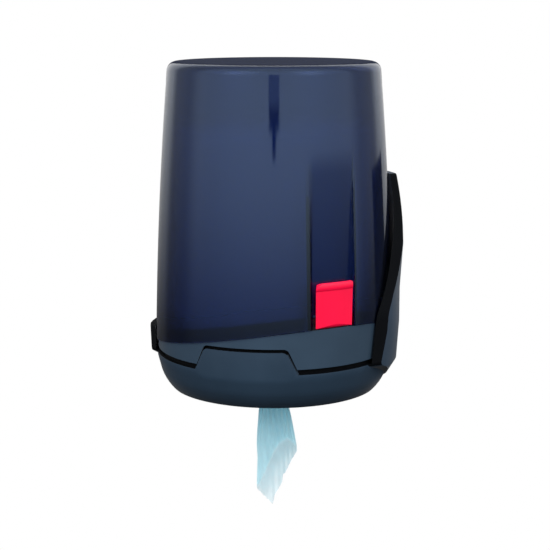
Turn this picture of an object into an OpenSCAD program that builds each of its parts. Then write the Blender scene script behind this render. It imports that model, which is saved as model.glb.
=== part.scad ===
// Wall-mounted centre-feed paper dispenser: a translucent drum on a cup that sits in a wall cradle.
// Millimetres. The front faces -Y, the wall is the plane y = 0, and the origin is the centre of the
// wall screw pattern. The pieces are drawn round the drum's axis with z = 0 under the cradle, then placed.

/* [Paper roll] */
// Diameter of the paper roll
roll_d = 200; // [160:1:240]
// Height of the roll, which is the width of the paper
roll_h = 198; // [160:1:250]
// Diameter of the hole in the roll that the paper is drawn from
roll_hole_d = 60; // [40:1:90]
// Height of the roll's underside above the cradle's underside
roll_z = 63; // [59:1:75]

/* [Drum cover] */
// Room from the roll to the outside of the drum at its foot
side_room = 19.8; // [16:0.1:26]
// Height from the top of the roll to the top of the drum
head_room = 66; // [14:1:90]
// Wall of the drum
drum_wall = 2.5; // [1.5:0.1:3]
// How far the drum's side leans in from foot to top
drum_lean = 6; // [2:0.5:9]
// How far the drum's side curves in besides, from foot to top
drum_swell = 8.3; // [2:0.1:10]
// Rounding of the drum's top edge
top_edge_r = 9; // [5:0.5:12]
// Width of the upright channel that the latch lies in
channel_w = 48.5; // [48:0.5:56]
// How far the channel's middle lies to the left of the latch's
channel_shift = 1.9; // [0:0.1:4]
// Depth of the channel at the drum's foot
channel_depth = 7.8; // [7:0.1:8.6]

/* [Parting line] */
// Height of the lowest point of the line between drum and cup
parting_low = 44.5; // [44:0.5:50]
// Radius of the round sweep that the line follows
sweep_r = 1020; // [800:10:1400]
// Distance of the sweep's lowest point behind the drum's axis
sweep_shift = 145; // [120:1:170]
// Gap between drum and cup
parting_gap = 0.4; // [0.3:0.1:0.8]
// Height of the cup's inner collar above the line
collar_h = 13; // [8:1:18]

/* [Base cup] */
// Wall of the cup
cup_wall = 3; // [2:0.1:3.4]
// Radius of the circle of posts under the roll plate
post_circle_r = 85; // [70:1:88]

/* [Nozzle] */
// Inside diameter of the spout
spout_d = 32; // [26:1:38]
// Wall of the spout and funnel
spout_wall = 3; // [2:0.1:4]
// Length of the spout below the cradle
spout_drop = 13; // [10:1:24]
// Width of the funnel at its top
funnel_d = 84; // [70:1:110]
// Number of teeth in the tear ring
tear_teeth = 10; // [6:1:16]

/* [Cradle] */
// Wall of the cradle's bowl
bowl_wall = 3; // [2:0.1:4]
// Rounding of the bowl's bottom edge
bowl_edge_r = 13; // [6:0.5:13]
// Step from the bowl out to the belt
bowl_step = 4.7; // [3:0.1:6]
// Height where the bowl starts to widen
bowl_h = 14; // [14:0.5:20]
// Thickness of the belt round the cup
belt_t = 4.2; // [3:0.1:5]
// Height where the bowl has widened to the belt
belt_foot = 32; // [28:0.5:34]
// Height of the belt's top edge
belt_top = 35.8; // [34:0.1:40]
// Height of the front tongue
tongue_top = 58; // [50:0.5:61]
// Reach of the tongue's top to the right, as an angle round the drum
tongue_top_angle = 22; // [16:0.5:26]
// Reach of the tongue's foot to the right, as an angle round the drum
tongue_foot_angle = 28; // [24:0.5:32]
// How much less the tongue reaches to the left, as an angle round the drum
tongue_left_less = 4; // [0:0.5:5]
// Gap between the belt's top edge and the cup's shoulder
shoulder_gap = 5; // [2:0.1:6]
// Gap between the tongue's right side and the cup
tongue_gap = 1.2; // [0.6:0.1:3]
// Gap above the tongue's top
tongue_top_gap = 3; // [1:0.1:5]
// Thickness of the arms
arm_t = 7; // [5:0.1:8]
// Height of the tall arm and the back
arm_top = 212; // [200:1:216]
// Height of the low arm on the left
low_arm_top = 60; // [52:0.5:70]

/* [Latch] */
// Direction of the latch, as an angle from the front towards the right
latch_angle = 46.4; // [40:0.1:60]
// Width of the latch
latch_w = 39.5; // [36:0.5:45]
// Height of the latch
latch_h = 42; // [36:0.5:52]
// Radius of the latch's hinge barrel
barrel_r = 4.5; // [4.2:0.1:5]
// Diameter of the hinge pin
pin_d = 3; // [2.4:0.1:3.4]
// Radial clearance of the barrel on the pin
pin_gap = 0.05; // [0.03:0.01:0.1]

/* [Wall mount] */
// Distance between wall screws from side to side
screw_spacing_x = 100; // [90:1:110]
// Distance between wall screws from top to bottom
screw_spacing_z = 120; // [100:1:126]
// Diameter of the wall screw holes
wall_hole_d = 5.5; // [4:0.1:7]
// Width of the wall plate
plate_w = 150; // [136:1:170]
// Height of the wall plate
plate_h = 176; // [170:1:180]
// Thickness of the wall plate
plate_t = 4; // [3:0.1:6]

/* [Paper tail] */
// Length of the tail below the cradle
tail_drop = 130; // [90:1:160]
// Width of the tail where it is widest
tail_w = 44; // [36:1:56]
// Thickness of the paper in the tail
tail_t = 0.8; // [0.5:0.1:0.9]
// Number of pleats across the tail
tail_pleats = 3; // [2:1:4]
// Depth of a pleat to each side
pleat_depth = 4; // [2:0.5:4.5]
// Direction that the tail's flat side faces, as an angle from the front towards the right
tail_angle = 16.5; // [-30:0.5:60]

/* [Hidden] */
$fn = 128;

// Clearances
slide_gap = 0.4;
fit_gap = 0.15;
lap = 0.5;
far = 400;

// Radii round the drum's axis, from the roll outwards
roll_r = roll_d / 2;
drum_r = roll_r + side_room;
channel_r = drum_r - channel_depth;
cup_inset = 1.9;
cup_r = drum_r - cup_inset;
belt_inset = 1.1;
belt_r = drum_r - belt_inset;
belt_in_r = belt_r - belt_t;
shell_r = belt_in_r - slide_gap;
bowl_r = belt_r - bowl_step;
bowl_in_r = bowl_r - bowl_wall;
cup_low_r = bowl_in_r - slide_gap;
arm_in_r = drum_r + 2 * slide_gap;
arm_r = arm_in_r + arm_t;
arm_bulge = 3;
arm_foot_in = 2.5;

// Heights
cup_z = bowl_wall + fit_gap;
cup_floor = cup_z + cup_wall;
shoulder_z = belt_top + shoulder_gap;
roll_top = roll_z + roll_h;
drum_top = roll_top + head_room;
drum_foot_rise = 20.6;
drum_foot = parting_low + drum_foot_rise;
drum_steps = 12;

// Heights where the arms' outer side bends
arm_foot_z = belt_top - 2;
arm_low_z = low_arm_top + 8;
arm_mid_z = arm_low_z + 33;

// Wall
pad_y = arm_r + arm_bulge + 1;
wall_y = pad_y + plate_t;
mount_z = 125;
arm_bulge_z = mount_z + 22;
pad_w = 76;
pad_h = 140;
plate_corner_r = 12;

// Height of the parting line at a distance s from the axis towards the latch
function parting_z(s) = parting_low + sweep_r - sqrt(pow(sweep_r, 2) - pow(s + sweep_shift, 2));
collar_top = parting_z(drum_r) + collar_h + 2;

// Latch, with s measured outwards from the drum's axis
pin_s = channel_r + 2;
pin_r = pin_d / 2;
pin_z = parting_z(pin_s) + barrel_r + slide_gap + parting_gap;
latch_face_r = drum_r - 1.2;
latch_plate_t = 4;
lip_r = 4;
lip_gap = 1;
latch_top = pin_z - barrel_r + latch_h;
ear_w = 4;
ear_t = 10;
ear_r = pin_r + 1.5;
ear_slot_r = ear_r + slide_gap;
ear_reach = 3;
spring_half = 3.6;
spring_coil_r = ear_r;
spring_wire_r = 0.5;
spring_leg_t = 2;
carrier_gap = 0.5;
carrier_r = channel_r - drum_wall - carrier_gap;
carrier_t = 4;
carrier_w = 40;
carrier_foot = roll_z - 2;
carrier_screw_t = 11;
carrier_screw_z = carrier_foot + 7;
carrier_screw_end = latch_face_r - 3;

// Screws
screw_r = 1.6;
head_r = 3.4;
head_h = 2;
head_sink = 0.3;
post_r = 6;
post_screw_l = 14;
pad_screw_r = 2;
pad_head_r = 4.2;
pad_head_h = 3;
pad_screw_x = 26;
pad_screw_z = 45;
driver_r = 6;

// Nozzle
spout_r = spout_d / 2;
spout_out_r = spout_r + spout_wall;
flange_r = spout_out_r + 10;
flange_t = 3;
funnel_top = roll_z - 14;
plate_disc_t = 3.5;
tear_t = 3;
tear_bite = 3;
nut_h = 8;
nut_r = spout_out_r + 9;
nut_grips = 12;

// Colours
dark_plastic = [0.17, 0.22, 0.28];
smoke = [0.22, 0.28, 0.4, 0.5];
red_plastic = [0.9, 0.08, 0.2];
steel = [0.7, 0.71, 0.73];
paper_blue = [0.68, 0.84, 0.9];
grey_plastic = [0.35, 0.38, 0.42];

// Points on a circle about c, from angle a to angle b
function arc(c, r, a, b, steps = 6) =
    [for (i = [0 : steps]) let (w = a + (b - a) * i / steps) c + r * [cos(w), sin(w)]];

// The corner at b, between a and c, rounded with radius r
function corner(a, b, c, r, steps = 5) =
    let (u = (a - b) / norm(a - b), v = (c - b) / norm(c - b),
         half = acos(u * v) / 2,
         middle = b + (u + v) / norm(u + v) * r / sin(half),
         start = b + u * r / tan(half) - middle,
         turn = (180 - 2 * half) * sign(cross(u, v)) * -1)
    [for (i = [0 : steps]) let (w = turn * i / steps)
        middle + [start.x * cos(w) - start.y * sin(w), start.x * sin(w) + start.y * cos(w)]];

// An outline of [x, y, radius] points with its corners rounded
function rounded(points) =
    [for (i = [0 : len(points) - 1])
        let (n = len(points), p = points[i], a = points[(i + n - 1) % n], c = points[(i + 1) % n],
             here = [p.x, p.y])
        each p.z == 0 ? [here] : corner([a.x, a.y], here, [c.x, c.y], p.z)];

module placed() translate([0, -wall_y, -mount_z]) children();
module at_latch() rotate([0, 0, latch_angle]) children();
module revolved(outline) rotate_extrude() polygon(outline);
module ring(r_in, r_out, z_low, z_high)
    revolved([[r_in, z_low], [r_out, z_low], [r_out, z_high], [r_in, z_high]]);

// A front view outline drawn out towards the front, and a side view outline drawn out to the right
module from_front(outline) rotate([90, 0, 0]) linear_extrude(far) polygon(outline);
module from_side(outline) rotate([90, 0, 90]) linear_extrude(far) polygon(outline);

// A rod or barrel across the latch, centred, at distance s and height z
module latch_rod(r, half_w, s = pin_s, z = pin_z)
    translate([0, -s, z]) rotate([0, 90, 0]) cylinder(r = r, h = 2 * half_w, center = true);

// A block across the latch from distance s_in to s_out
module latch_block(half_w, s_in, s_out, z_low, z_high)
    translate([-half_w, -s_out, z_low]) cube([2 * half_w, s_out - s_in, z_high - z_low]);

// The space above the parting line, drawn in or out by a change of the sweep's radius
module above_parting(change)
    at_latch() translate([0, sweep_shift, parting_low + sweep_r]) rotate([0, 90, 0])
        cylinder(r = sweep_r + change, h = 2 * far, center = true, $fn = 720);

// Drum
function drum_side(z) =
    let (t = (z - drum_foot) / (drum_top - drum_foot)) drum_r - drum_lean * t - drum_swell * t * abs(t);

function drum_outline(skin) =
    let (low = parting_low - 5, shoulder = drum_top - top_edge_r, edge = top_edge_r - skin)
    [[0, low - skin],
     [drum_side(low) - skin, low - skin],
     for (i = [0 : drum_steps - 1]) let (z = low + (shoulder - low) * i / drum_steps) [drum_side(z) - skin, z],
     each arc([drum_side(shoulder) - top_edge_r, shoulder], edge, 0, 90),
     [0, drum_top - skin]];

module drum_space(skin) difference() {
    revolved(drum_outline(skin));
    at_latch() difference() {
        translate([-channel_shift, 0, 0]) latch_block(channel_w / 2 + skin, 0, far, 0, drum_top);
        cylinder(r = channel_r - skin, h = drum_top);
    }
}

module drum_cover() color(smoke) placed() difference() {
    intersection() {
        drum_space(0);
        above_parting(-parting_gap / 2);
    }
    drum_space(drum_wall);
    at_latch() latch_block(latch_w / 2 + 1, 0, far, 0, pin_z + barrel_r + 2);
}

// Cup
function cup_outline() =
    let (edge_r = bowl_edge_r - bowl_wall, edge_s = cup_low_r - edge_r, in_r = shell_r - cup_wall,
         hole_r = spout_out_r + fit_gap)
    [[hole_r, cup_z],
     each arc([edge_s, cup_z + edge_r], edge_r, -90, 0),
     [cup_low_r, bowl_h], [shell_r, belt_foot], [shell_r, collar_top],
     [in_r, collar_top], [in_r, belt_foot], [cup_low_r - cup_wall, bowl_h],
     each arc([edge_s, cup_z + edge_r], edge_r - cup_wall, 0, -90),
     [hole_r, cup_floor]];

function tongue_outline(left_gap, right_gap, top_gap) =
    let (top_x = belt_r * sin(tongue_top_angle), foot_x = belt_r * sin(tongue_foot_angle),
         left_top_x = belt_r * sin(tongue_top_angle - tongue_left_less),
         left_foot_x = belt_r * sin(tongue_foot_angle - tongue_left_less),
         top_z = tongue_top + top_gap, foot_z = belt_top - 2)
    rounded([[-left_foot_x - left_gap, foot_z, 0], [foot_x + right_gap, foot_z, 0],
             [top_x + right_gap, top_z, 6], [-left_top_x - left_gap, top_z, 6]]);

module posts(r, z_low, z_high)
    for (i = [0 : 3]) rotate([0, 0, 90 * i]) translate([post_circle_r, 0, z_low])
        cylinder(r = r, h = z_high - z_low);

module carrier_screw_bores(r, s_in, s_out)
    at_latch() for (side = [-1, 1]) translate([side * carrier_screw_t, -s_in, carrier_screw_z])
        rotate([90, 0, 0]) cylinder(r = r, h = s_out - s_in);

module base_cup() color(dark_plastic) placed() difference() {
    union() {
        difference() {
            revolved(cup_outline());
            above_parting(-collar_h);
            intersection() {
                above_parting(parting_gap / 2);
                at_latch() translate([-channel_shift, 0, 0])
                    latch_block(channel_w / 2 + drum_wall + 1, 0, far, 0, far);
            }
        }
        difference() {
            ring(shell_r - lap, cup_r, shoulder_z, collar_top);
            above_parting(parting_gap / 2);
            difference() {
                from_front(tongue_outline(slide_gap, tongue_gap, tongue_top_gap));
                cylinder(r = shell_r, h = far);
            }
        }
        posts(post_r, cup_floor - lap, roll_z - plate_disc_t);
    }
    posts(screw_r, roll_z - post_screw_l, far);
    carrier_screw_bores(screw_r, carrier_r, carrier_screw_end);
}

module roll_plate() color(grey_plastic) placed() difference() {
    ring(funnel_d / 2 + 4, roll_r + 3, roll_z - plate_disc_t, roll_z);
    posts(screw_r, 0, far);
    posts(head_r, roll_z - head_h, far);
}

module plate_screws() color(steel) placed() {
    posts(screw_r, roll_z - post_screw_l, roll_z - head_h);
    posts(head_r, roll_z - head_h, roll_z - head_sink);
}

// Nozzle
module exit_nozzle() color(grey_plastic) placed() revolved([
    [spout_r, -spout_drop], [spout_out_r, -spout_drop], [spout_out_r, cup_floor], [flange_r, cup_floor],
    [flange_r, cup_floor + flange_t], [spout_out_r, cup_floor + flange_t],
    [funnel_d / 2 + spout_wall, funnel_top], [funnel_d / 2, funnel_top], [spout_r, cup_floor + flange_t]]);

module nozzle_nut() color(grey_plastic) placed() difference() {
    ring(spout_out_r + fit_gap, nut_r, cup_z - nut_h, cup_z);
    for (i = [0 : nut_grips - 1]) rotate([0, 0, 360 / nut_grips * i])
        translate([nut_r + 1, 0, cup_z - nut_h - 1]) cylinder(r = 3, h = nut_h + 2);
}

module tear_ring() color(steel) placed() translate([0, 0, -spout_drop]) linear_extrude(tear_t) difference() {
    circle(r = spout_r);
    polygon([for (i = [0 : 2 * tear_teeth - 1])
        let (r = spout_r - (i % 2 == 0 ? tear_bite : 1), a = 180 / tear_teeth * i) r * [cos(a), sin(a)]]);
}

// Latch
module latch_bracket() color(grey_plastic) placed() difference() {
    at_latch() union() {
        intersection() {
            ring(carrier_r - carrier_t, carrier_r, carrier_foot, pin_z + ear_r + 2);
            latch_block(carrier_w / 2, 0, far, 0, far);
        }
        intersection() {
            ring(carrier_r - lap, shell_r - cup_wall, carrier_foot, parting_z(channel_r) - 3);
            latch_block(carrier_w / 2, 0, far, 0, far);
        }
        for (side = [-1, 1]) translate([side * (ear_t + ear_w / 2), 0, 0]) difference() {
            union() {
                latch_rod(ear_r, ear_w / 2);
                latch_block(ear_w / 2, carrier_r - ear_reach, pin_s, pin_z - 2, pin_z + 2);
            }
            latch_rod(pin_r, ear_w);
        }
    }
    carrier_screw_bores(screw_r, 0, far);
}

module latch_bracket_screws() color(steel) placed() {
    seat_s = sqrt(pow(carrier_r - carrier_t, 2) - pow(carrier_screw_t + head_r, 2));
    carrier_screw_bores(screw_r, seat_s - lap, carrier_screw_end);
    carrier_screw_bores(head_r, seat_s - head_h, seat_s);
}

module latch_pin() color(steel) placed() at_latch() latch_rod(pin_r, ear_t + ear_w);

module latch_spring() color(steel) placed() at_latch() {
    difference() {
        latch_rod(spring_coil_r, spring_half);
        latch_rod(pin_r + fit_gap, far);
    }
    translate([spring_leg_t, -(pin_s - spring_coil_r + spring_wire_r), pin_z]) rotate([-90, 0, 0])
        cylinder(r = spring_wire_r, h = pin_s - spring_coil_r - carrier_r + 1);
    translate([-spring_leg_t, -(pin_s - spring_wire_r - fit_gap), pin_z + (pin_r + spring_coil_r) / 2])
        cylinder(r = spring_wire_r, h = latch_h / 2);
}

module latch_lever() color(red_plastic) placed() at_latch() difference() {
    union() {
        intersection() {
            ring(latch_face_r - latch_plate_t, latch_face_r, pin_z, latch_top - lip_r);
            latch_block(latch_w / 2, 0, far, 0, far);
        }
        intersection() {
            latch_rod(barrel_r, latch_w / 2);
            cylinder(r = latch_face_r, h = far);
        }
        intersection() {
            rotate_extrude() translate([channel_r + lip_gap + lip_r, latch_top - lip_r]) circle(r = lip_r);
            latch_block(latch_w / 2, 0, far, 0, far);
        }
    }
    latch_rod(pin_r + pin_gap, far);
    for (side = [-1, 1]) translate([side * (ear_t + ear_w / 2), 0, 0]) {
        latch_rod(ear_slot_r, ear_w / 2 + slide_gap);
        latch_block(ear_w / 2 + slide_gap, 0, pin_s, 0, latch_top - 2 * lip_r);
    }
    latch_rod(ear_slot_r, spring_half + slide_gap);
    latch_block(spring_half + slide_gap, 0, pin_s, 0, latch_top - 2 * lip_r);
}

// Cradle
function bowl_outline() =
    let (edge_s = bowl_r - bowl_edge_r, hole_r = nut_r + 4)
    [[hole_r, 0],
     each arc([edge_s, bowl_edge_r], bowl_edge_r, -90, 0),
     [bowl_r, bowl_h], [belt_r, belt_foot], [belt_r, belt_top], [belt_in_r, belt_top],
     [belt_in_r, belt_foot], [bowl_in_r, bowl_h],
     each arc([edge_s, bowl_edge_r], bowl_edge_r - bowl_wall, 0, -90),
     [hole_r, bowl_wall]];

function arm_section() = [
    [bowl_r - 1, bowl_h - 4], [arm_r - arm_foot_in, belt_foot - 2], [arm_r, arm_low_z], [arm_r, arm_mid_z],
    [arm_r + arm_bulge, arm_bulge_z], [arm_r, arm_top], [arm_in_r, arm_top], [arm_in_r, belt_top],
    [belt_in_r, belt_top], [belt_in_r, belt_foot]];

// The arms' front edges face half way between front and side. A point on such an edge is given by its
// angle from the front, its height and the rounding of the outline there.
arm_turn = 45;
function arm_point(angle, z, r) = [-arm_in_r * cos(angle - arm_turn), z, r];

function tall_arm_outline() = rounded([
    [far, 0, 0], arm_point(112, 0, 0), arm_point(68.6, arm_foot_z, 6), arm_point(73, 84, 40),
    arm_point(92, 142, 60), arm_point(117, arm_top, 5), [far, arm_top, 0]]);

function low_arm_outline() = rounded([
    [far, 0, 0], arm_point(112, 0, 0), arm_point(68.6, arm_foot_z, 6), arm_point(70.5, low_arm_top, 3),
    arm_point(122, low_arm_top, 8), arm_point(126, arm_top, 5), [far, arm_top, 0]]);

// The space on the right of the middle that an arm's outline bounds
module arm_side(outline) intersection() {
    rotate([0, 0, arm_turn]) from_side(outline);
    translate([-lap, -far / 2, 0]) cube(far);
}

module cradle() color(dark_plastic) placed() difference() {
    union() {
        revolved(bowl_outline());
        intersection() {
            ring(belt_in_r, belt_r, belt_top - lap, tongue_top);
            from_front(tongue_outline(0, 0, 0));
        }
        intersection() {
            revolved(arm_section());
            union() {
                arm_side(tall_arm_outline());
                mirror([1, 0, 0]) arm_side(low_arm_outline());
            }
        }
        difference() {
            translate([-pad_w / 2, 0, mount_z - pad_h / 2]) cube([pad_w, pad_y, pad_h]);
            cylinder(r = arm_in_r, h = far);
        }
    }
    pad_screws(pad_screw_r, 0, far);
    pad_screws(pad_head_r, 0, pad_y - plate_t - pad_head_h);
    wall_holes(driver_r, 0, pad_y);
}

// Screws that hold the cradle on the wall plate, and the wall screw holes, as rods along Y
module pad_screws(r, y_low, y_high) rods(r, y_low, y_high, 2 * pad_screw_x, 2 * pad_screw_z);
module wall_holes(r, y_low, y_high) rods(r, y_low, y_high, screw_spacing_x, screw_spacing_z);
module rods(r, y_low, y_high, spacing_x, spacing_z)
    for (x = [-1, 1], z = [-1, 1]) translate([x * spacing_x / 2, y_low, mount_z + z * spacing_z / 2])
        rotate([-90, 0, 0]) cylinder(r = r, h = y_high - y_low);

module cradle_screws() color(steel) placed() {
    pad_screws(pad_screw_r, pad_y - plate_t - pad_head_h, wall_y - 1);
    pad_screws(pad_head_r, pad_y - plate_t - 2 * pad_head_h, pad_y - plate_t - pad_head_h);
}

module wall_plate() color(grey_plastic) placed() difference() {
    translate([0, wall_y, mount_z]) rotate([90, 0, 0]) linear_extrude(plate_t)
        polygon(rounded([for (c = [[-1, -1], [1, -1], [1, 1], [-1, 1]])
            [c.x * plate_w / 2, c.y * plate_h / 2, plate_corner_r]]));
    wall_holes(wall_hole_d / 2, 0, far);
    pad_screws(pad_screw_r, 0, wall_y - 1);
}

// Paper
module paper_roll() color(paper_blue) placed() ring(roll_hole_d / 2, roll_r, roll_z, roll_top);

tail_columns = 24;
tail_rows = 22;
tail_top = -spout_drop + tear_t + 4;
neck_half = spout_r - tear_bite - 2;

// Half width, sideways drift and pleat depth of the tail at a height z below the cup
function tail_half(z) =
    let (t = min(1, max(0, (tail_top - z) / (tail_drop * 0.56 + tail_top))))
    neck_half + (tail_w / 2 - neck_half) * t;
function tail_drift(z) = 3 * max(0, (tail_top - z) / tail_drop);
function tail_pleat(z) = pleat_depth * (0.6 + 0.4 * cos(90 * (tail_top - z) / tail_drop));

// Height of the tail's torn lower edge: a low left corner, a tip near the middle, a long slant to the right
function tail_hem(q) = q < 0.45 ? -tail_drop * (0.872 + 0.128 * q / 0.45)
                                : -tail_drop * (1 - 0.44 * (q - 0.45) / 0.55);

// A point on the tail: q runs across, p runs down and side is the face
function tail_point(q, p, side) =
    let (z = tail_top + p * (tail_hem(q) - tail_top), half = tail_half(z), depth = tail_pleat(z),
         wave = 360 * tail_pleats * q,
         slope = [2 * half, -depth * sin(wave) * 2 * PI * tail_pleats],
         out = [slope.y, -slope.x] / norm(slope))
    [tail_drift(z) + half * (2 * q - 1) + side * out.x * tail_t / 2,
     depth * cos(wave) + side * out.y * tail_t / 2, z];

module paper_tail() color(paper_blue) placed() rotate([0, 0, tail_angle]) {
    row = tail_columns + 1;
    side_count = row * (tail_rows + 1);
    points = [for (side = [1, -1], j = [0 : tail_rows], i = [0 : tail_columns])
        tail_point(i / tail_columns, j / tail_rows, side)];
    front = [for (j = [0 : tail_rows - 1], i = [0 : tail_columns - 1]) let (a = j * row + i)
        each [[a, a + 1, a + row + 1], [a, a + row + 1, a + row]]];
    back = [for (f = front) [f[2], f[1], f[0]] + side_count * [1, 1, 1]];
    rim = concat([for (i = [0 : tail_columns]) i],
        [for (j = [1 : tail_rows]) j * row + tail_columns],
        [for (i = [1 : tail_columns]) tail_rows * row + tail_columns - i],
        [for (j = [1 : tail_rows - 1]) (tail_rows - j) * row]);
    walls = [for (i = [0 : len(rim) - 1]) let (a = rim[i], b = rim[(i + 1) % len(rim)])
        each [[b, a, a + side_count], [b, a + side_count, b + side_count]]];
    polyhedron(points, concat(front, back, walls));
}

wall_plate();
cradle();
cradle_screws();
base_cup();
roll_plate();
plate_screws();
exit_nozzle();
nozzle_nut();
tear_ring();
latch_bracket();
latch_bracket_screws();
latch_pin();
latch_spring();
latch_lever();
paper_roll();
paper_tail();
drum_cover();
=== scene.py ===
"""Wall-mounted centre-feed paper dispenser: a smoke-blue drum over a paper roll, in a dark wall cradle."""

import math
import random

import bmesh
import bpy
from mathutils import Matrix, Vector, noise


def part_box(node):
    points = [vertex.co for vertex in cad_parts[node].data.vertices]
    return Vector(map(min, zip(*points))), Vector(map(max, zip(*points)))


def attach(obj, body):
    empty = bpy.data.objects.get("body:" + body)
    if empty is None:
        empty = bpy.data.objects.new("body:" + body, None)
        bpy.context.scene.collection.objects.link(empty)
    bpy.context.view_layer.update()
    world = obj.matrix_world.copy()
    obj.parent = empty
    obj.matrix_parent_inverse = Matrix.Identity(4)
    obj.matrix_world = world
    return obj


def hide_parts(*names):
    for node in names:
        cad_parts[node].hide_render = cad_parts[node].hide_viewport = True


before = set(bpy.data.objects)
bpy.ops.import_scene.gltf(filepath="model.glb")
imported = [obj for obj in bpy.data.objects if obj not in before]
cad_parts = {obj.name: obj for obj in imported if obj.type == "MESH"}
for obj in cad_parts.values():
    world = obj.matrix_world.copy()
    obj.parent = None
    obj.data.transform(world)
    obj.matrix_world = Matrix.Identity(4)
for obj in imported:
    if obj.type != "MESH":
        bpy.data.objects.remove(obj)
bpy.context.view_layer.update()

# Wall plate
# The plate that four screws hold on the wall, moulded in grey plastic with a fine spark-eroded grain.
# The cradle is screwed to its front, so it shows only from the side and from behind.
MM = 0.001
crease = math.radians(32)


def moulded_plastic(name, colour, roughness, grain_size, grain_depth, drift=0.12):
    """Moulded plastic: a colour that drifts a little, patchy gloss and a fine grain in the surface."""
    material = bpy.data.materials.new(name)
    material.use_nodes = True
    tree = material.node_tree
    shader = tree.nodes["Principled BSDF"]
    place = tree.nodes.new("ShaderNodeTexCoord")

    clouds = tree.nodes.new("ShaderNodeTexNoise")
    clouds.inputs["Scale"].default_value = 28
    clouds.inputs["Detail"].default_value = 4
    tree.links.new(place.outputs["Object"], clouds.inputs["Vector"])
    tint = tree.nodes.new("ShaderNodeValToRGB")
    tint.color_ramp.elements[0].position = 0.3
    tint.color_ramp.elements[0].color = [c * (1 - drift) for c in colour] + [1]
    tint.color_ramp.elements[1].position = 0.7
    tint.color_ramp.elements[1].color = [c * (1 + drift) for c in colour] + [1]
    tree.links.new(clouds.outputs["Fac"], tint.inputs["Fac"])
    tree.links.new(tint.outputs["Color"], shader.inputs["Base Color"])

    gloss = tree.nodes.new("ShaderNodeMapRange")
    gloss.inputs["To Min"].default_value = roughness * 0.85
    gloss.inputs["To Max"].default_value = roughness * 1.15
    tree.links.new(clouds.outputs["Fac"], gloss.inputs["Value"])
    tree.links.new(gloss.outputs["Result"], shader.inputs["Roughness"])

    grain = tree.nodes.new("ShaderNodeTexNoise")
    grain.inputs["Scale"].default_value = 1 / grain_size
    grain.inputs["Detail"].default_value = 2
    tree.links.new(place.outputs["Object"], grain.inputs["Vector"])
    bump = tree.nodes.new("ShaderNodeBump")
    bump.inputs["Strength"].default_value = 0.5
    bump.inputs["Distance"].default_value = grain_depth
    tree.links.new(grain.outputs["Fac"], bump.inputs["Height"])
    tree.links.new(bump.outputs["Normal"], shader.inputs["Normal"])
    return material


def merged(node):
    """A node's mesh with its loose triangles joined and its flat faces whole again."""
    bm = bmesh.new()
    bm.from_mesh(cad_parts[node].data)
    bmesh.ops.remove_doubles(bm, verts=bm.verts, dist=0.002 * MM)
    bmesh.ops.dissolve_limit(bm, angle_limit=math.radians(0.2), verts=bm.verts, edges=bm.edges)
    return bm


def piece_from(bm, name, materials):
    """An object with the mesh's place in the mesh, smooth faces and sharp edges."""
    mesh = bpy.data.meshes.new(name)
    bm.to_mesh(mesh)
    bm.free()
    for material in materials:
        mesh.materials.append(material)
    mesh.shade_smooth()
    mesh.set_sharp_from_angle(angle=crease)
    piece = bpy.data.objects.new(name, mesh)
    bpy.context.scene.collection.objects.link(piece)
    return piece


def shell(bm, node, body, materials, edge_r):
    """The piece that stands for a node, with its edges rounded."""
    piece = piece_from(bm, node + "_shell", materials)
    rounding = piece.modifiers.new("edges", "BEVEL")
    rounding.width = edge_r
    rounding.segments = 3
    rounding.limit_method = "ANGLE"
    rounding.angle_limit = crease
    even = piece.modifiers.new("even", "WEIGHTED_NORMAL")
    even.keep_sharp = True
    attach(piece, body)
    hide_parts(node)
    return piece


grey_plastic = moulded_plastic("grey_plastic", (0.075, 0.08, 0.09), 0.55, 0.4 * MM, 0.05 * MM)
shell(merged("wall_plate"), "wall_plate", "bracket", [grey_plastic], 0.8 * MM)

# Cradle
# One dark satin moulding: a bowl with a belt, a tongue at the front, a low arm and a tall arm that sweep
# back to the pad on the wall plate. The arms' front edges and the floors of the slots are painted matt
# black, as painted shade where these gaps and edge faces lie in shade.
dark_plastic = moulded_plastic("dark_plastic", (0.0265, 0.049, 0.079), 0.3, 1.2 * MM, 0.01 * MM, 0.06)
cradle_plastic = moulded_plastic("cradle_plastic", (0.0215, 0.0405, 0.067), 0.3, 1.2 * MM, 0.01 * MM, 0.06)
for material in (dark_plastic, cradle_plastic):
    satin = material.node_tree.nodes["Principled BSDF"]
    satin.inputs["Sheen Weight"].default_value = 0.12
    satin.inputs["Sheen Roughness"].default_value = 0.35
# Painted shade: a matt near-black with little reflection that stands in for the shade in gaps and on shaded
# edge faces.
painted_shade_black = moulded_plastic("painted_shade_black", (0.0015, 0.002, 0.003), 0.75, 0.5 * MM, 0.03 * MM)
painted_shade_black.node_tree.nodes["Principled BSDF"].inputs["Specular IOR Level"].default_value = 0.12

roll_low, roll_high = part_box("paper_roll")
axis = Vector(((roll_low.x + roll_high.x) / 2, (roll_low.y + roll_high.y) / 2, 0))
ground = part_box("cradle")[0].z
roll_r = (roll_high.x - roll_low.x) / 2
drum_r = roll_r + 19.8 * MM
bowl_r = drum_r - 5.8 * MM
bowl_h = 14 * MM
bowl_edge_r = 13 * MM
bowl_lean = math.atan(4.7 / 18)
bowl_skin = 0.6 * MM
curve_h = 20 * MM
curve_r = 43.4 * MM
curve_cuts = 10
slot_low = ground + 35 * MM
slot_high = ground + 59.5 * MM
arm_foot = ground + 34 * MM
arm_front = math.radians(60)
arm_back = math.radians(130)


def from_axis(point):
    """The level line from the drum's axis to a point."""
    return Vector((point.x - axis.x, point.y - axis.y, 0))


def cut(bm, point, normal, clear_outer=False):
    """Cuts all faces along a plane, and takes off what lies beyond it where that is asked for."""
    return bmesh.ops.bisect_plane(bm, geom=bm.verts[:] + bm.edges[:] + bm.faces[:], dist=0.001 * MM,
                                  plane_co=point, plane_no=normal, clear_outer=clear_outer)


bm = merged("cradle")
for i in range(curve_cuts):
    cut(bm, (0, 0, ground + curve_h * (i + 1) / curve_cuts), (0, 0, 1))
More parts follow.
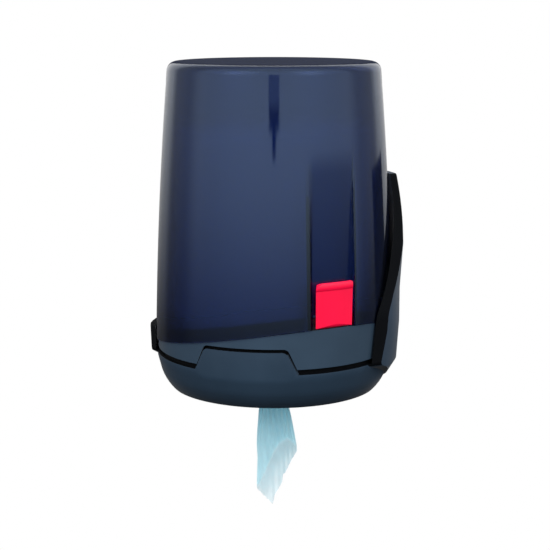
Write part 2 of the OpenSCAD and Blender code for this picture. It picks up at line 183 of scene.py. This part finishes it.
# The bowl's outer skin is bent from its rounded edge to one long curve that runs on into its lean.
for vert in bm.verts:
    out = from_axis(vert.co)
    z = max(0, vert.co.z - ground)
    rounded = bowl_r - bowl_edge_r + math.sqrt(bowl_edge_r ** 2 - max(0, bowl_edge_r - z) ** 2)
    rounded += max(0, z - bowl_h) * math.tan(bowl_lean)
    if z < curve_h and out.length > rounded - bowl_skin:
        tilt = math.asin(math.sin(bowl_lean) + (curve_h - z) / curve_r)
        curved = bowl_r + (curve_h - bowl_h) * math.tan(bowl_lean)
        curved -= curve_r * (math.cos(bowl_lean) - math.cos(tilt))
        vert.co += out.normalized() * (curved - rounded)
# The arms' front edges face half way between front and side, and the floors of the slots face up. Both get
# the painted shade, a matt black.
for face in bm.faces:
    place = face.calc_center_median() - axis
    angle = math.atan2(abs(place.x), -place.y)
    across = Vector((math.copysign(1, place.x), 1, 0)).normalized()
    edge_face = abs(face.normal.dot(across)) < 0.03 and place.z > arm_foot
    slot_face = face.normal.z > 0.6 and slot_low < place.z < slot_high
    face.material_index = int(slot_face or edge_face and arm_front < angle < arm_back)
shell(bm, "cradle", "bracket", [cradle_plastic, painted_shade_black], 0.8 * MM)

# Cradle screws
# Four steel screws with low round heads, driven from the front through the cradle's pad into the wall
# plate. Turned steel with a fine streak.
def brushed_steel(name, roughness, stretch):
    """Steel with fine streaks along one direction, in its colour and its gloss."""
    material = bpy.data.materials.new(name)
    material.use_nodes = True
    tree = material.node_tree
    shader = tree.nodes["Principled BSDF"]
    shader.inputs["Metallic"].default_value = 1
    place = tree.nodes.new("ShaderNodeTexCoord")
    turn = tree.nodes.new("ShaderNodeMapping")
    turn.inputs["Scale"].default_value = stretch
    tree.links.new(place.outputs["Object"], turn.inputs["Vector"])
    streaks = tree.nodes.new("ShaderNodeTexNoise")
    streaks.inputs["Scale"].default_value = 400
    streaks.inputs["Detail"].default_value = 3
    tree.links.new(turn.outputs["Vector"], streaks.inputs["Vector"])
    tint = tree.nodes.new("ShaderNodeValToRGB")
    tint.color_ramp.elements[0].color = (0.42, 0.43, 0.45, 1)
    tint.color_ramp.elements[1].color = (0.62, 0.63, 0.65, 1)
    tree.links.new(streaks.outputs["Fac"], tint.inputs["Fac"])
    tree.links.new(tint.outputs["Color"], shader.inputs["Base Color"])
    gloss = tree.nodes.new("ShaderNodeMapRange")
    gloss.inputs["To Min"].default_value = roughness * 0.7
    gloss.inputs["To Max"].default_value = roughness * 1.3
    tree.links.new(streaks.outputs["Fac"], gloss.inputs["Value"])
    tree.links.new(gloss.outputs["Result"], shader.inputs["Roughness"])
    return material


steel = brushed_steel("steel", 0.32, (1, 1, 6))
shell(merged("cradle_screws"), "cradle_screws", "bracket", [steel], 0.4 * MM)

# Base cup
# The dark moulded cup that carries the roll and drops into the cradle. Its ring shows between the cradle and
# the drum, with a notch for the tongue, and its wall is painted matt black where it stands back behind the
# ring, as painted shade in the gap there.
round_reach = 0.15 * MM


def true_round(bm, radius, first, last, step):
    """Cuts the faces at even angles round the drum's axis and brings what lies near a radius onto it."""
    for i in range(round((last - first) / step) + 1):
        angle = first + i * step
        cut(bm, axis, (math.cos(angle), math.sin(angle), 0))
    round_verts = set()
    for vert in bm.verts:
        out = from_axis(vert.co)
        if abs(out.length - radius) < round_reach:
            vert.co += out.normalized() * (radius - out.length)
            round_verts.add(vert)
    bmesh.ops.dissolve_limit(bm, angle_limit=step * 0.6, verts=list(round_verts),
                             edges=[edge for edge in bm.edges if round_verts.issuperset(edge.verts)])


ring_r = drum_r - 1.9 * MM
behind_ring_r = drum_r - 4.7 * MM
painted_shade_foot = ground + 30 * MM
bm = merged("base_cup")
true_round(bm, ring_r, 0, math.pi, math.radians(2.5))
cut(bm, (0, 0, painted_shade_foot), (0, 0, 1))
for face in bm.faces:
    place = face.calc_center_median()
    out = from_axis(place)
    # Painted shade: faces of the wall that stand back behind the ring, above the foot height, get the matt
    # black.
    set_back = out.length < behind_ring_r and place.z > painted_shade_foot
    face.material_index = int(set_back and face.normal.dot(out.normalized()) > 0.5)
shell(bm, "base_cup", "cup", [dark_plastic, painted_shade_black], 0.6 * MM)

# Nozzle
# A funnel of grey plastic that gathers the paper into a short spout, the nut with grip notches that clamps
# it in the cup's floor, and the flat steel ring in its mouth whose teeth tear the paper.
shell(merged("exit_nozzle"), "exit_nozzle", "cup", [grey_plastic], 0.5 * MM)
shell(merged("nozzle_nut"), "nozzle_nut", "cup", [grey_plastic], 0.6 * MM)
shell(merged("tear_ring"), "tear_ring", "cup", [steel], 0.15 * MM)

# Roll plate
# The flat ring of grey plastic that the roll stands on. Four steel screws, their heads sunk below its top,
# hold it on posts in the cup.
shell(merged("roll_plate"), "roll_plate", "cup", [grey_plastic], 0.5 * MM)
shell(merged("plate_screws"), "plate_screws", "cup", [steel], 0.3 * MM)

# Latch bracket
# The grey moulded carrier inside the cup with two ears for the latch's steel pin, held by two screws from
# inside. A torsion spring of steel wire sits on the pin and closes the latch.
shell(merged("latch_bracket"), "latch_bracket", "cup", [grey_plastic], 0.4 * MM)
shell(merged("latch_bracket_screws"), "latch_bracket_screws", "cup", [steel], 0.3 * MM)
shell(merged("latch_pin"), "latch_pin", "cup", [steel], 0.3 * MM)
shell(merged("latch_spring"), "latch_spring", "cup", [steel], 0.1 * MM)

# Latch
# The red pull lever that closes the drum, moulded in satin plastic. It lies in the drum's channel, curved
# like the drum, turns on the pin at its foot, and widens to the left, with a rounded lip along its top.
red_plastic = moulded_plastic("red_plastic", (0.95, 0.005, 0.055), 0.32, 0.8 * MM, 0.012 * MM, 0.05)
latch_angle = math.radians(46.4)
latch_reach = math.radians(12)
latch_r = drum_r - 1.2 * MM
latch_half = 19.75 * MM
latch_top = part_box("latch_lever")[1].z
face_pressed = 0.65
lip_h = 10 * MM
lip_raise = 2.4 * MM
middle_half = 14 * MM
left_stretch = 0.4
left_extra = 2.3 * MM
left_corner_r = 10 * MM
right_trim = 0.14
right_corner_r = 2.5 * MM
corner_cuts = 5
flank_turn = math.radians(35)
flank_out = 1.8 * MM
flank_depth = 1.6 * MM


def way_out(angle):
    """The level direction away from the axis, at an angle from the front towards the right."""
    return Vector((math.sin(angle), -math.cos(angle), 0))


def cut_away(bm, point, normal):
    """Takes off what lies beyond a plane and closes the cut."""
    made = cut(bm, point, normal, clear_outer=True)["geom_cut"]
    edges = [part for part in made if isinstance(part, bmesh.types.BMEdge)]
    bmesh.ops.triangle_fill(bm, use_beauty=True, use_dissolve=True, edges=edges)


latch_out = way_out(latch_angle)
latch_right = way_out(latch_angle + math.pi / 2)
bm = merged("latch_lever")
for vert in bm.verts:
    out = from_axis(vert.co)
    side = out.dot(latch_right)
    in_lip = vert.co.z > latch_top - lip_h
    if out.length > latch_r:
        vert.co -= out.normalized() * face_pressed * (out.length - latch_r)
    if in_lip:
        vert.co.z += lip_raise
    if side < -middle_half:
        vert.co += latch_right * left_stretch * (side + middle_half)
    elif side > middle_half and not in_lip:
        vert.co -= latch_right * right_trim * (side - middle_half)
for side, half, corner_r in ((-1, latch_half + left_extra, left_corner_r), (1, latch_half, right_corner_r)):
    centre = axis + latch_right * side * (half - corner_r) + Vector((0, 0, latch_top + lip_raise - corner_r))
    for i in range(corner_cuts):
        turn = math.radians(90) * (i + 1) / (corner_cuts + 1)
        normal = latch_right * side * math.cos(turn) + Vector((0, 0, math.sin(turn)))
        cut_away(bm, centre + normal * corner_r, normal)
cut_away(bm, axis - latch_right * (latch_half + flank_out) + latch_out * (latch_r - flank_depth),
         -latch_right * math.cos(flank_turn) - latch_out * math.sin(flank_turn))
true_round(bm, latch_r, latch_angle - latch_reach, latch_angle + latch_reach, math.radians(0.8))
shell(bm, "latch_lever", "latch", [red_plastic], 0.9 * MM)

# Paper roll
# Pale blue creped paper wound round an open core. The windings show on the ends, and the sides are a
# little uneven where the layers lie.
def creped_paper(name, colour, pale, windings, through):
    """Soft paper with a fine crepe, its tone drifting towards a paler colour at random and by a painted
    light attribute, with windings round the axis and light let through.
    """
    material = bpy.data.materials.new(name)
    material.use_nodes = True
    tree = material.node_tree
    shader = tree.nodes["Principled BSDF"]
    shader.inputs["Roughness"].default_value = 0.9
    shader.inputs["Specular IOR Level"].default_value = 0.2
    place = tree.nodes.new("ShaderNodeTexCoord")
    centre = tree.nodes.new("ShaderNodeMapping")
    centre.inputs["Location"].default_value = -axis
    tree.links.new(place.outputs["Object"], centre.inputs["Vector"])

    # Painted light: this attribute, where the mesh has it, pushes the tone towards the paler colour.
    painted_light_share = tree.nodes.new("ShaderNodeAttribute")
    painted_light_share.attribute_name = "painted_light_share"
    clouds = tree.nodes.new("ShaderNodeTexNoise")
    clouds.inputs["Scale"].default_value = 160
    clouds.inputs["Detail"].default_value = 5
    tree.links.new(centre.outputs["Vector"], clouds.inputs["Vector"])
    spots = tree.nodes.new("ShaderNodeMapRange")
    spots.inputs["To Min"].default_value = -0.2
    spots.inputs["To Max"].default_value = 0.2
    tree.links.new(clouds.outputs["Fac"], spots.inputs["Value"])
    share = tree.nodes.new("ShaderNodeMath")
    share.operation = "ADD"
    share.use_clamp = True
    tree.links.new(painted_light_share.outputs["Fac"], share.inputs[0])
    tree.links.new(spots.outputs["Result"], share.inputs[1])
    tint = tree.nodes.new("ShaderNodeMix")
    tint.data_type = "RGBA"
    tint.inputs["A"].default_value = (*colour, 1)
    tint.inputs["B"].default_value = (*pale, 1)
    tree.links.new(share.outputs["Value"], tint.inputs["Factor"])
    tree.links.new(tint.outputs["Result"], shader.inputs["Base Color"])

    crepe = tree.nodes.new("ShaderNodeTexNoise")
    crepe.inputs["Scale"].default_value = 900
    crepe.inputs["Detail"].default_value = 3
    tree.links.new(centre.outputs["Vector"], crepe.inputs["Vector"])
    layers = tree.nodes.new("ShaderNodeTexWave")
    layers.wave_type = "RINGS"
    layers.rings_direction = "Z"
    layers.inputs["Scale"].default_value = windings
    layers.inputs["Distortion"].default_value = 1.5
    tree.links.new(centre.outputs["Vector"], layers.inputs["Vector"])
    relief = tree.nodes.new("ShaderNodeMath")
    relief.operation = "ADD"
    tree.links.new(crepe.outputs["Fac"], relief.inputs[0])
    tree.links.new(layers.outputs["Fac"], relief.inputs[1])
    bump = tree.nodes.new("ShaderNodeBump")
    bump.inputs["Strength"].default_value = 0.6
    bump.inputs["Distance"].default_value = 0.15 * MM
    tree.links.new(relief.outputs["Value"], bump.inputs["Height"])
    tree.links.new(bump.outputs["Normal"], shader.inputs["Normal"])

    glow = tree.nodes.new("ShaderNodeBsdfTranslucent")
    tree.links.new(tint.outputs["Result"], glow.inputs["Color"])
    both = tree.nodes.new("ShaderNodeMixShader")
    both.inputs["Fac"].default_value = through
    tree.links.new(shader.outputs["BSDF"], both.inputs[1])
    tree.links.new(glow.outputs["BSDF"], both.inputs[2])
    tree.links.new(both.outputs["Shader"], tree.nodes["Material Output"].inputs["Surface"])
    return material


hole_r = 30 * MM
roll_edge = 2 * MM
edge_dip = 0.3 * roll_edge
layer_dent = 0.35 * MM
roll_rows = 24
roll_columns = 128
side_low = roll_low.z + roll_edge
side_high = roll_high.z - roll_edge
profile = [(hole_r, roll_low.z), (roll_r - roll_edge, roll_low.z)]
profile += [(roll_r - edge_dip, roll_low.z + edge_dip)]
profile += [(roll_r, side_low + (side_high - side_low) * i / roll_rows) for i in range(roll_rows + 1)]
profile += [(roll_r - edge_dip, roll_high.z - edge_dip)]
profile += [(roll_r - roll_edge, roll_high.z), (hole_r, roll_high.z)]
bm = bmesh.new()
line = [bm.verts.new((axis.x + r, axis.y, z)) for r, z in profile]
edges = [bm.edges.new((start, end)) for start, end in zip(line, line[1:] + line[:1])]
bmesh.ops.spin(bm, geom=line + edges, cent=axis, axis=(0, 0, 1), angle=2 * math.pi,
               steps=roll_columns, use_merge=True)
bmesh.ops.remove_doubles(bm, verts=bm.verts, dist=0.01 * MM)
bmesh.ops.recalc_face_normals(bm, faces=bm.faces)
for vert in bm.verts:
    out = from_axis(vert.co)
    if out.length > roll_r - roll_edge:
        dent = 1 + noise.noise(Vector((0, 0, vert.co.z * 40)) + out * 25)
        vert.co -= out.normalized() * layer_dent * dent
roll = piece_from(bm, "roll", [creped_paper("roll_paper", (0.55, 0.73, 0.79), (0.64, 0.8, 0.85), 420, 0)])
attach(roll, "cup")
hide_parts("paper_roll")

# Paper tail
# The end of the roll's inside, gathered through the nozzle into a flattened tube of pleats, one thin layer
# of paper. A flap lies over its front, and the lower edge is torn, with a tip, a hook and a notch.
# Its tone is painted light: paler down the tail and on the flap, where more light falls, and a brighter
# blue at the top that lifts the shade under the bowl.
# Its outlines are in millimetres, sideways from the axis and up from the cradle's bottom.
tail_places = {"left": ((-6, -10.4), (-14, -10.8), (-28.6, -15.6), (-55, -17.6), (-66, -18), (-83, -17.2),
                        (-107, -18), (-135, -17.4)),
               "right": ((-6, 10.4), (-14, 10.8), (-28.6, 15.7), (-35, 17.3), (-48.7, 20), (-70.4, 23.8),
                         (-135, 31)),
               "hem": ((-18.5, -113.2), (-1.6, -129.8), (0, -126), (0.4, -121), (8.6, -105.5), (9.4, -97),
                       (11.5, -96.3), (17.7, -83), (23, -74.7), (24.2, -70)),
               "fold": ((-18, -113.5), (-10.7, -97.5), (-5.3, -85), (-0.7, -73), (5.4, -64), (13, -58.5),
                        (17, -60), (25, -68.5))}


def along_line(name, where):
    """The value of one of the tail's outlines at a place, both in millimetres."""
    points = sorted(tail_places[name])
    for (a, low), (b, high) in zip(points, points[1:]):
        if where <= b:
            return low + (high - low) * max(0, where - a) / (b - a)
    return points[-1][1]


def across_tail(z, share):
    """The sideways place on the tail at a height, a share of the way from its left side to its right."""
    left = along_line("left", z)
    return left + (along_line("right", z) - left) * share


tail_columns = 180
tail_rows = 90
tail_start = -6
tail_drop = 124
back_short = 4
hem_rag = 0.5
tube_half = 3.4
pleat_count = 7.5
front_pleat = 1.5
back_pleat = 5.0
fold_h = 3.2
flap_lift = 3
view_turn = math.radians(16.5)
tail_right = way_out(view_turn + math.pi / 2)
tail_front = way_out(view_turn)
chance = random.Random(4)
bm = bmesh.new()
painted_light_share = bm.verts.layers.float.new("painted_light_share")
grid = []
for i in range(tail_columns + 1):
    around = i / tail_columns
    front_side = around < 0.5
    across = 2 * around if front_side else 2 - 2 * around
    # The hem depends on the sideways place and that on the height, so the two are settled in turn.
    low = -100
    for _ in range(12):
        low = along_line("hem", across_tail(low, across)) + (0 if front_side else back_short)
    low += chance.uniform(-hem_rag, hem_rag)
    column = []
    for j in range(tail_rows + 1):
        z = tail_start + (low - tail_start) * j / tail_rows
        down = (tail_start - z) / tail_drop
        u = across_tail(z, across)
        over = min(1, max(0, (along_line("fold", u) - z) / fold_h)) if front_side else 0
        over = over * over * (3 - 2 * over)
        drift = noise.noise(Vector((3 * across, 2.5 * down, 1 + front_side)))
        waves = pleat_count * across + 0.35 * math.sin(5 * across + 3 * down) + 0.25 * drift
        pleat = (front_pleat if front_side else back_pleat) * math.sin(2 * math.pi * waves)
        pleat *= (1 - 0.5 * min(1, 1.6 * down)) * (1 - 0.55 * over) * min(1, 12 * across * (1 - across))
        depth = tube_half * math.sqrt(max(0, math.sin(math.pi * across))) + pleat
        depth += 1.6 * noise.noise(Vector((u * 0.11, z * 0.06, 7.0 + front_side))) * min(1, 4 * down)
        depth += flap_lift * over + 4 * down * down * (across - 0.3)
        vert = bm.verts.new(axis + (tail_right * u + tail_front * depth * (1 if front_side else -1)) * MM
                            + Vector((0, 0, ground + z * MM)))
        # Painted light: the share of the paler colour grows down the tail and on the flap, where more light
        # falls.
        vert[painted_light_share] = 0.25 + 0.3 * down + 0.45 * over
        column.append(vert)
    grid.append(column)
for near, far in zip(grid, grid[1:]):
    for j in range(tail_rows):
        bm.faces.new((near[j], far[j], far[j + 1], near[j + 1]))
bmesh.ops.recalc_face_normals(bm, faces=bm.faces)
# The brighter blue is painted light that lifts the shade at the top under the bowl.
tail_paper = creped_paper("tail_paper", (0.68, 0.93, 0.99), (0.74, 0.82, 0.85), 0, 0.65)
tail = piece_from(bm, "tail", [tail_paper])
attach(tail, "cup")
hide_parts("paper_tail")

# Drum cover
# The see-through cover, moulded in smoke-blue plastic in one piece. A sunk channel at its right takes the
# latch, its foot follows the wavy edge of the cup, and its side leans in towards a softly rounded top.
drum_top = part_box("drum_cover")[1].z
drum_wall = 2.5 * MM
drum_lean = 6 * MM
drum_swell = 8.3 * MM
drum_edge_r = 9 * MM
channel_r = drum_r - 7.8 * MM
channel_half = 24.25 * MM
channel_shift = 1.9 * MM
parting_low = ground + 44.5 * MM
parting_gap = 0.2 * MM
drum_foot = parting_low + 20.6 * MM
sweep_r = 1020 * MM
sweep_shift = 145 * MM
window_top = ground + 92.1 * MM
matt_h = 28 * MM
matt_foot = 2.5
drum_columns = 200
foot_rows = 8
side_rows = 20
edge_rows = 8
# The channel's side walls: places across in millimetres, and the share of its depth that is reached there.
left_wall = ((-0.9, 0.0), (-0.2, 0.04), (0.5, 0.15), (3.9, 0.85), (4.5, 0.97), (5.2, 1.0))
right_wall = ((-1.2, 1.0), (-0.6, 0.96), (-0.25, 0.85), (0.25, 0.15), (0.6, 0.04), (1.2, 0.0))
floor_left = -18.85
floor_pitch = 4.15
floor_places = [floor_left + floor_pitch * i for i in range(11)]
window_columns = range(len(left_wall), len(left_wall) + len(floor_places))


def drum_radius(z):
    """Radius of the drum's outside at a height."""
    t = (z - drum_foot) / (drum_top - drum_foot)
    return drum_r - drum_lean * t - drum_swell * t * abs(t)


def parting_z(point):
    """Height of the wavy line between drum and cup at a point on the drum's side."""
    s = from_axis(point).dot(latch_out)
    return parting_low + sweep_r - math.sqrt(sweep_r ** 2 - (s + sweep_shift) ** 2)


def channel_direction(angle):
    """The way out from the axis at an angle from the channel's middle."""
    return way_out(angle + latch_angle - math.asin(channel_shift / drum_r))


def drum_skin(bm, skin):
    """One skin of the drum, drawn in by skin and open at foot and window; its points by column and row."""
    half = channel_half + skin
    floor_r = channel_r - skin
    channel = [(out * MM - half, share) for out, share in left_wall]
    channel += [(place * MM, 1.0) for place in floor_places]
    channel += [(out * MM + half, share) for out, share in right_wall]
    first, last = (math.asin(channel[i][0] / floor_r) for i in (0, -1))
    others = drum_columns - len(channel)
    pitch = (2 * math.pi - last + first) / (others + 1)

    shoulder = drum_top - drum_edge_r
    rim_r = drum_radius(shoulder) - drum_edge_r
    rows = [("foot", i / foot_rows) for i in range(foot_rows)]
    rows += [("side", window_top + (shoulder - window_top) * i / side_rows) for i in range(side_rows)]
    rows += [("edge", math.radians(90) * i / edge_rows) for i in range(edge_rows + 1)]
    rows += [("cap", share) for share in (0.75, 0.5, 0.25, 0.0)]
    older = set(bm.verts)
    line = [bm.verts.new((0 if row == ("cap", 0.0) else 1, 0, i)) for i, row in enumerate(rows)]
    edges = [bm.edges.new(pair) for pair in zip(line, line[1:])]
    bmesh.ops.spin(bm, geom=line + edges, cent=(0, 0, 0), axis=(0, 0, 1), angle=2 * math.pi,
                   steps=drum_columns, use_merge=True)
    points = {}
    for vert in [vert for vert in bm.verts if vert not in older]:
        column = round(math.atan2(vert.co.y, vert.co.x) / (2 * math.pi) * drum_columns) % drum_columns
        row = round(vert.co.z)
        kind, value = rows[row]
        if column < len(channel):
            offset, share = channel[column]
            angle = math.asin(offset / floor_r)
        else:
            share = 0
            angle = last + pitch * (column - len(channel) + 1)
        if kind == "foot":
            foot = parting_z(axis + drum_r * channel_direction(angle)) + parting_gap
            z = foot + (window_top - foot) * value
            r = drum_radius(z) - skin
        elif kind == "side":
            z, r = value, drum_radius(value) - skin
        elif kind == "edge":
            z = shoulder + (drum_edge_r - skin) * math.sin(value)
            r = rim_r + (drum_edge_r - skin) * math.cos(value)
        else:
            z, r = drum_top - skin, rim_r * value
        r -= share * max(0, r - floor_r)
        if column < len(channel) and r > floor_r:
            angle = math.asin(offset / r)
        vert.co = axis + r * channel_direction(angle) + Vector((0, 0, z))
        points[vert] = column, row
    in_window = {vert for vert, (column, row) in points.items()
                 if column in window_columns and row <= foot_rows}
    window = [face for face in bm.faces if in_window.issuperset(face.verts)]
    bmesh.ops.delete(bm, geom=window, context="FACES")
    top_middle = [vert for vert in points if vert.is_valid and points[vert][1] == len(rows) - 1]
    bmesh.ops.remove_doubles(bm, verts=top_middle, dist=0.01 * MM)
    return {points[vert]: vert for vert in points if vert.is_valid}


bm = bmesh.new()
matt = bm.verts.layers.float.new("matt")
outside = drum_skin(bm, 0)
inside = drum_skin(bm, drum_wall)
for (column, _), vert in inside.items():
    above = vert.co.z - inside[column, 0].co.z if (column, 0) in inside else matt_h
    vert[matt] = 1 + matt_foot * max(0, 1 - above / matt_h)
places = {vert: place for place, vert in outside.items()}
rim = [edge for edge in bm.edges if edge.is_boundary and edge.verts[0] in places]
for edge in rim:
    start, end = edge.verts
    bm.faces.new((start, end, inside[places[end]], inside[places[start]]))
bmesh.ops.recalc_face_normals(bm, faces=bm.faces)

smoke = bpy.data.materials.new("smoke_plastic")
smoke.use_nodes = True
tree = smoke.node_tree
output = tree.nodes["Material Output"]
shader = tree.nodes["Principled BSDF"]
shader.inputs["Base Color"].default_value = (0.34, 0.42, 0.58, 1)
shader.inputs["Transmission Weight"].default_value = 1
shader.inputs["IOR"].default_value = 1.85
shader.inputs["Specular Tint"].default_value = (0.52, 0.72, 1, 1)
skin_kind = tree.nodes.new("ShaderNodeAttribute")
skin_kind.attribute_name = "matt"
gloss = tree.nodes.new("ShaderNodeMapRange")
gloss.inputs["To Min"].default_value = 0.07
gloss.inputs["From Max"].default_value = 1 + matt_foot
gloss.inputs["To Max"].default_value = 0.6
tree.links.new(skin_kind.outputs["Fac"], gloss.inputs["Value"])
tree.links.new(gloss.outputs["Result"], shader.inputs["Roughness"])
lamp_rays = tree.nodes.new("ShaderNodeLightPath")
clear = tree.nodes.new("ShaderNodeBsdfTransparent")
clear.inputs["Color"].default_value = (0.583, 0.648, 0.762, 1)
choice = tree.nodes.new("ShaderNodeMixShader")
tree.links.new(lamp_rays.outputs["Is Shadow Ray"], choice.inputs["Fac"])
tree.links.new(shader.outputs["BSDF"], choice.inputs[1])
tree.links.new(clear.outputs["BSDF"], choice.inputs[2])
tree.links.new(choice.outputs["Shader"], output.inputs["Surface"])
depth = tree.nodes.new("ShaderNodeVolumeAbsorption")
depth.inputs["Color"].default_value = (0, 0.1, 0.42, 1)
depth.inputs["Density"].default_value = 640
tree.links.new(depth.outputs["Volume"], output.inputs["Volume"])

drum = piece_from(bm, "drum", [smoke])
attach(drum, "cover")
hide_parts("drum_cover")

# Studio
# A white surround that falls off to dark below, as over a dark table, soft lamps at both sides of the camera
# and at the rear right, and dark cards that only mirrors see: a strip in two tones on a stand behind the
# camera, one behind the drum's flat top and one low at the rear right. Angles are from the camera's side.
bpy.context.scene.view_settings.view_transform = "Standard"
camera_far = 1520 * MM
camera_up = 393 * MM
camera_pitch = math.radians(10.5)
camera_aside = math.radians(0.038)
lens = bpy.data.cameras.new("camera")
lens.sensor_width = 36
lens.lens = 99.5
lens.clip_end = 50
camera = bpy.data.objects.new("camera", lens)
toward = way_out(view_turn)
camera.location = axis + toward * camera_far + Vector((0, 0, ground + camera_up))
camera.rotation_euler = (math.pi / 2 - camera_pitch, 0, view_turn - camera_aside)
bpy.context.scene.collection.objects.link(camera)
bpy.context.scene.camera = camera

world = bpy.data.worlds.new("studio")
bpy.context.scene.world = world
world.use_nodes = True
tree = world.node_tree
surround = tree.nodes["Background"]
direction = tree.nodes.new("ShaderNodeTexCoord")
# The surround's fall to dark, for all light and for mirrors: lean of the horizon, dark and bright height.
falls = []
for tilt, start, end in ((-0.22, -0.3, 0.15), (0, -0.27, 0.05)):
    height = tree.nodes.new("ShaderNodeVectorMath")
    height.operation = "DOT_PRODUCT"
    height.inputs[1].default_value = toward * tilt + Vector((0, 0, 1))
    tree.links.new(direction.outputs["Generated"], height.inputs[0])
    fall = tree.nodes.new("ShaderNodeMapRange")
    fall.interpolation_type = "SMOOTHSTEP"
    fall.inputs["From Min"].default_value = start
    fall.inputs["From Max"].default_value = end
    tree.links.new(height.outputs["Value"], fall.inputs["Value"])
    falls.append(fall)
rays = tree.nodes.new("ShaderNodeLightPath")
fall = tree.nodes.new("ShaderNodeMix")
tree.links.new(rays.outputs["Is Glossy Ray"], fall.inputs["Factor"])
tree.links.new(falls[0].outputs["Result"], fall.inputs["A"])
tree.links.new(falls[1].outputs["Result"], fall.inputs["B"])
front = tree.nodes.new("ShaderNodeVectorMath")
front.operation = "DOT_PRODUCT"
front.inputs[1].default_value = toward
tree.links.new(direction.outputs["Generated"], front.inputs[0])
share = tree.nodes.new("ShaderNodeMapRange")
share.inputs["From Min"].default_value = -1
share.inputs["From Max"].default_value = 1
tree.links.new(front.outputs["Value"], share.inputs["Value"])
# The surround's brightness from straight behind the drum, at 0, to straight behind the camera, at 1.
sides = tree.nodes.new("ShaderNodeValToRGB")
sides.color_ramp.interpolation = "EASE"
for place, grey in ((0.13, 0.9), (0.24, 0.4), (0.4, 0.42), (0.6, 0.85)):
    stop = sides.color_ramp.elements.new(place)
    stop.color = (grey, grey, grey, 1)
for stop in (sides.color_ramp.elements[0], sides.color_ramp.elements[-1]):
    stop.color = (1, 1, 1, 1)
tree.links.new(share.outputs["Result"], sides.inputs["Fac"])
around = tree.nodes.new("ShaderNodeMath")
around.operation = "MULTIPLY"
tree.links.new(fall.outputs["Result"], around.inputs[0])
tree.links.new(sides.outputs["Color"], around.inputs[1])
seen = tree.nodes.new("ShaderNodeMath")
seen.operation = "MAXIMUM"
tree.links.new(rays.outputs["Is Camera Ray"], seen.inputs[0])
tree.links.new(rays.outputs["Is Transmission Ray"], seen.inputs[1])
level = tree.nodes.new("ShaderNodeMath")
level.operation = "MAXIMUM"
tree.links.new(seen.outputs["Value"], level.inputs[0])
tree.links.new(around.outputs["Value"], level.inputs[1])
tree.links.new(level.outputs["Value"], surround.inputs["Strength"])
surround.inputs["Color"].default_value = (1, 1, 1, 1)

# Each card's angle, distance, width, lower and upper edge, and grey, in degrees and metres.
cards = {"hood_card": (0, 2.6, 0.50, 0.49, 0.90, 0.4), "camera_card": (0, 2.6, 0.46, 0.40, 0.49, 0),
         "stand_card": (0, 2.6, 0.16, 0.30, 0.40, 0),
         "back_card": (180, 2.2, 1.1, 0.20, 1.2, 0.07), "side_card": (125.5, 2.2, 0.95, -0.7, 0.11, 0.04)}
for name, (turn, distance, width, low, high, grey) in cards.items():
    paint = bpy.data.materials.new(name)
    paint.use_nodes = True
    tree = paint.node_tree
    glow = tree.nodes.new("ShaderNodeEmission")
    glow.inputs["Color"].default_value = (0.8 * grey, 0.9 * grey, 1.3 * grey, 1)
    tree.links.new(glow.outputs["Emission"], tree.nodes["Material Output"].inputs["Surface"])
    out = way_out(view_turn + math.radians(turn))
    along = Vector((-out.y, out.x, 0))
    bm = bmesh.new()
    corners = [bm.verts.new(axis + out * distance + along * side * width / 2 + Vector((0, 0, ground + z)))
               for side, z in ((-1, low), (1, low), (1, high), (-1, high))]
    bm.faces.new(corners)
    card = piece_from(bm, name, [paint])
    card.visible_camera = False
    card.visible_diffuse = False
    card.visible_transmission = False
    card.visible_shadow = False

lamp_far = 1.9
lamp_rise = 0.65
lamp_aim = 0.15
for side, turn, energy in (("left", -38.5, 40), ("right", 38.5, 33), ("rear", 123.5, 30)):
    lamp = bpy.data.lights.new("softbox_" + side, "AREA")
    lamp.shape = "RECTANGLE"
    lamp.size = 1.2
    lamp.size_y = 1.6
    lamp.energy = energy
    box = bpy.data.objects.new("softbox_" + side, lamp)
    away = way_out(view_turn + math.radians(turn)) + Vector((0, 0, lamp_rise))
    box.location = axis + away * lamp_far + Vector((0, 0, ground + lamp_aim))
    box.rotation_euler = (-away).to_track_quat("-Z", "Y").to_euler()
    box.visible_glossy = False
    bpy.context.scene.collection.objects.link(box)
